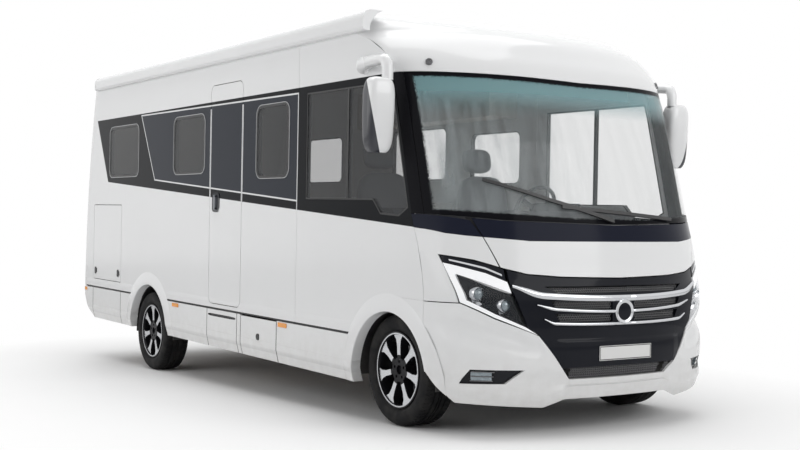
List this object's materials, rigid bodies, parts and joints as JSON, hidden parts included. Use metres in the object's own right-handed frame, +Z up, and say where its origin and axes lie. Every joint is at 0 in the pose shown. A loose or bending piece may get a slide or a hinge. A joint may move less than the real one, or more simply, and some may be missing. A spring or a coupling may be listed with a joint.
{
  "type": "motorhome",
  "caption": "Integrated motorhome with a flat-sided body, large curved windscreen, grey window band, entry door, garage doors, hood flap, awning case and steered front wheels.",
  "frame": {"origin": "on the ground under the middle of the vehicle's length and width", "axes": "+X towards the front, +Y towards the vehicle's left side, +Z up"},
  "size_m": [6.8871, 2.799, 2.9112],
  "materials": {
    "painted_body": "gloss white",
    "dark_metal": "satin black",
    "floor_board": "matt",
    "gloss_black": "gloss",
    "chrome_trim": "polished",
    "black_plastic": "grained",
    "clear_glass": "polished",
    "dark_glass": "polished",
    "headlamp_glass": "polished",
    "tail_red": "polished",
    "marker_amber": "polished",
    "cab_trim": "grained",
    "seat_cloth": "woven",
    "interior_board": "satin",
    "engine_metal": "raw",
    "mirror_white": "gloss",
    "awning_metal": "white coated",
    "rim_metal": "machined",
    "tyre_rubber": "matt"
  },
  "bodies": {
    "body": {"chassis_frame": "dark_metal", "floor_panel": "floor_board", "side_wall_right": "painted_body", "side_wall_left": "painted_body", "cab_sides": "painted_body", "rear_wall": "painted_body", "roof": "painted_body", "front_cap": "painted_body", "front_mask": "painted_body", "pillars": "gloss_black", "bumper": "painted_body", "arch_flares": "painted_body", "grille": "gloss_black", "grille_bars": "chrome_trim", "lower_mesh": "black_plastic", "windscreen": "clear_glass", "cab_glass": "dark_glass", "windows": "dark_glass", "window_frames": "black_plastic", "skirts": "painted_body", "rear_bumper": "painted_body", "headlamps": "headlamp_glass", "fog_lamps": "headlamp_glass", "tail_lamps": "tail_red", "marker_lamps": "marker_amber", "arch_liners": "black_plastic", "bulkhead": "cab_trim", "dashboard": "cab_trim", "seats": "seat_cloth", "furniture": "interior_board", "engine": "engine_metal", "waste_tank": "black_plastic", "front_suspension": "dark_metal", "rear_axle": "dark_metal", "mirrors": "mirror_white", "wipers": "black_plastic", "awning_case": "awning_metal", "skylights": "black_plastic"},
    "hood": {"hood": "painted_body"},
    "entry_door": {"entry_door": "painted_body"},
    "garage_door_right": {"garage_door_right": "painted_body"},
    "garage_door_left": {"garage_door_left": "painted_body"},
    "locker_flap": {"locker_flap": "painted_body"},
    "steering_wheel": {"steering_wheel": "black_plastic"},
    "knuckle_right": {"knuckle_right": "dark_metal"},
    "knuckle_left": {"knuckle_left": "dark_metal"},
    "wheel_front_right": {"rim_front_right": "rim_metal", "tyre_front_right": "tyre_rubber"},
    "wheel_front_left": {"rim_front_left": "rim_metal", "tyre_front_left": "tyre_rubber"},
    "wheel_rear_right": {"rim_rear_right": "rim_metal", "tyre_rear_right": "tyre_rubber"},
    "wheel_rear_left": {"rim_rear_left": "rim_metal", "tyre_rear_left": "tyre_rubber"}
  },
  "joints": [
    {"name": "steer_left", "type": "hinge", "parent": "body", "child": "knuckle_left", "pos_m": [2.45044, 0.918, 0.36], "axis": [0, 0, 1], "range_deg": [-30, 30]},
    {"name": "steer_right", "type": "hinge", "parent": "body", "child": "knuckle_right", "pos_m": [2.45044, -0.918, 0.36], "axis": [0, 0, 1], "range_deg": [-30, 30]},
    {"name": "steering_wheel_turn", "type": "hinge", "parent": "body", "child": "steering_wheel", "pos_m": [2.02427, 0.46, 1.43376], "axis": [-0.8681, 0, 0.4964], "range_deg": [-450, 450]},
    {"name": "spin_front_left", "type": "hinge", "parent": "knuckle_left", "child": "wheel_front_left", "pos_m": [2.45044, 0.938, 0.36], "axis": [0, 1, 0], "continuous": true},
    {"name": "spin_front_right", "type": "hinge", "parent": "knuckle_right", "child": "wheel_front_right", "pos_m": [2.45044, -0.938, 0.36], "axis": [0, 1, 0], "continuous": true},
    {"name": "spin_rear_left", "type": "hinge", "parent": "body", "child": "wheel_rear_left", "pos_m": [-1.63456, 0.974, 0.36], "axis": [0, 1, 0], "continuous": true},
    {"name": "spin_rear_right", "type": "hinge", "parent": "body", "child": "wheel_rear_right", "pos_m": [-1.63456, -0.974, 0.36], "axis": [0, 1, 0], "continuous": true},
    {"name": "entry_door_swing", "type": "hinge", "parent": "body", "child": "entry_door", "pos_m": [0.33395, -1.144, 0.76536], "axis": [0.0307, 0, 0.9995], "range_deg": [0, 150]},
    {"name": "garage_right_lift", "type": "hinge", "parent": "body", "child": "garage_door_right", "pos_m": [-2.69514, -1.144, 1.55777], "axis": [-0.9995, 0, 0.0307], "range_deg": [0, 105]},
    {"name": "garage_left_lift", "type": "hinge", "parent": "body", "child": "garage_door_left", "pos_m": [-2.69514, 1.144, 1.55777], "axis": [0.9995, 0, -0.0307], "range_deg": [0, 105]},
    {"name": "locker_lift", "type": "hinge", "parent": "body", "child": "locker_flap", "pos_m": [0.65104, -1.144, 0.60055], "axis": [-0.9995, 0, 0.0307], "range_deg": [0, 100]},
    {"name": "hood_tilt", "type": "hinge", "parent": "body", "child": "hood", "pos_m": [3.41225, 0, 0.95591], "axis": [0, 1, 0], "range_deg": [0, 80]}
  ],
  "couplings": [
    {"joint": "steer_right", "follows": "steer_left", "ratio": 1},
    {"joint": "steering_wheel_turn", "follows": "steer_left", "ratio": 15}
  ]
}
